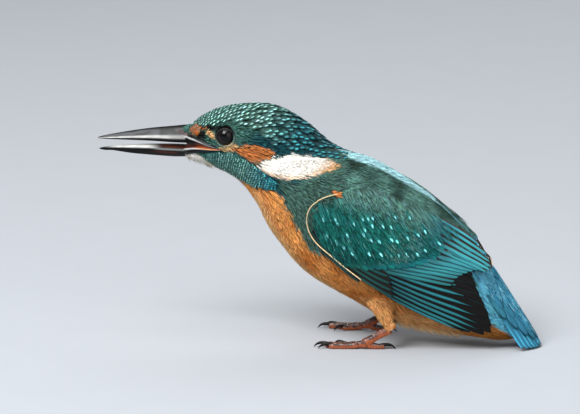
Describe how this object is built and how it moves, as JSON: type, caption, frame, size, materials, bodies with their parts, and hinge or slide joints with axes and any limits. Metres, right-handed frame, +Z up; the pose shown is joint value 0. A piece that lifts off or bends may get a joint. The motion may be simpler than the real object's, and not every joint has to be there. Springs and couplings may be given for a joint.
{
  "type": "common kingfisher",
  "caption": "Life-size kingfisher that leans forward on both feet and its tail tip, with a long dagger bill held a little open and both wings folded.",
  "frame": {"origin": "on the floor, under the middle of the bird's outline in length and width", "axes": "+Z up, +X towards the tail, -X towards the bill, -Y towards the bird's left side"},
  "size_m": [0.1552, 0.0454, 0.0819],
  "materials": {
    "crown_plumage": "dark blue-green feathers with pale blue bars",
    "mantle_plumage": "soft grey-green feathers",
    "breast_plumage": "soft orange feathers",
    "rump_plumage": "bright sky-blue feathers",
    "tail_plumage": "blue feathers with dark shafts",
    "covert_plumage": "sleek teal feathers with pale blue spots",
    "flight_plumage": "sleek turquoise-edged vanes",
    "primary_plumage": "dark brown vanes with teal edges",
    "horn": "smooth dark horn, satin",
    "eye": "wet glossy dark brown",
    "foot_skin": "scaled dusky orange-brown skin"
  },
  "bodies": {
    "root": {"head": "crown_plumage", "neck": "mantle_plumage", "trunk": "breast_plumage", "rump": "rump_plumage", "tail": "tail_plumage", "bill_upper": "horn", "bill_lower": "horn", "eye_left": "eye", "wing_coverts_left": "covert_plumage", "wing_secondaries_left": "flight_plumage", "wing_primaries_left": "primary_plumage", "thigh_left": "breast_plumage", "tarsus_left": "foot_skin", "toe_middle_left": "foot_skin", "claw_middle_left": "horn", "toe_outer_left": "foot_skin", "claw_outer_left": "horn", "toe_inner_left": "foot_skin", "claw_inner_left": "horn", "toe_hind_left": "foot_skin", "claw_hind_left": "horn", "eye_right": "eye", "wing_coverts_right": "covert_plumage", "wing_secondaries_right": "flight_plumage", "wing_primaries_right": "primary_plumage", "thigh_right": "breast_plumage", "tarsus_right": "foot_skin", "toe_middle_right": "foot_skin", "claw_middle_right": "horn", "toe_outer_right": "foot_skin", "claw_outer_right": "horn", "toe_inner_right": "foot_skin", "claw_inner_right": "horn", "toe_hind_right": "foot_skin", "claw_hind_right": "horn"}
  },
  "joints": []
}
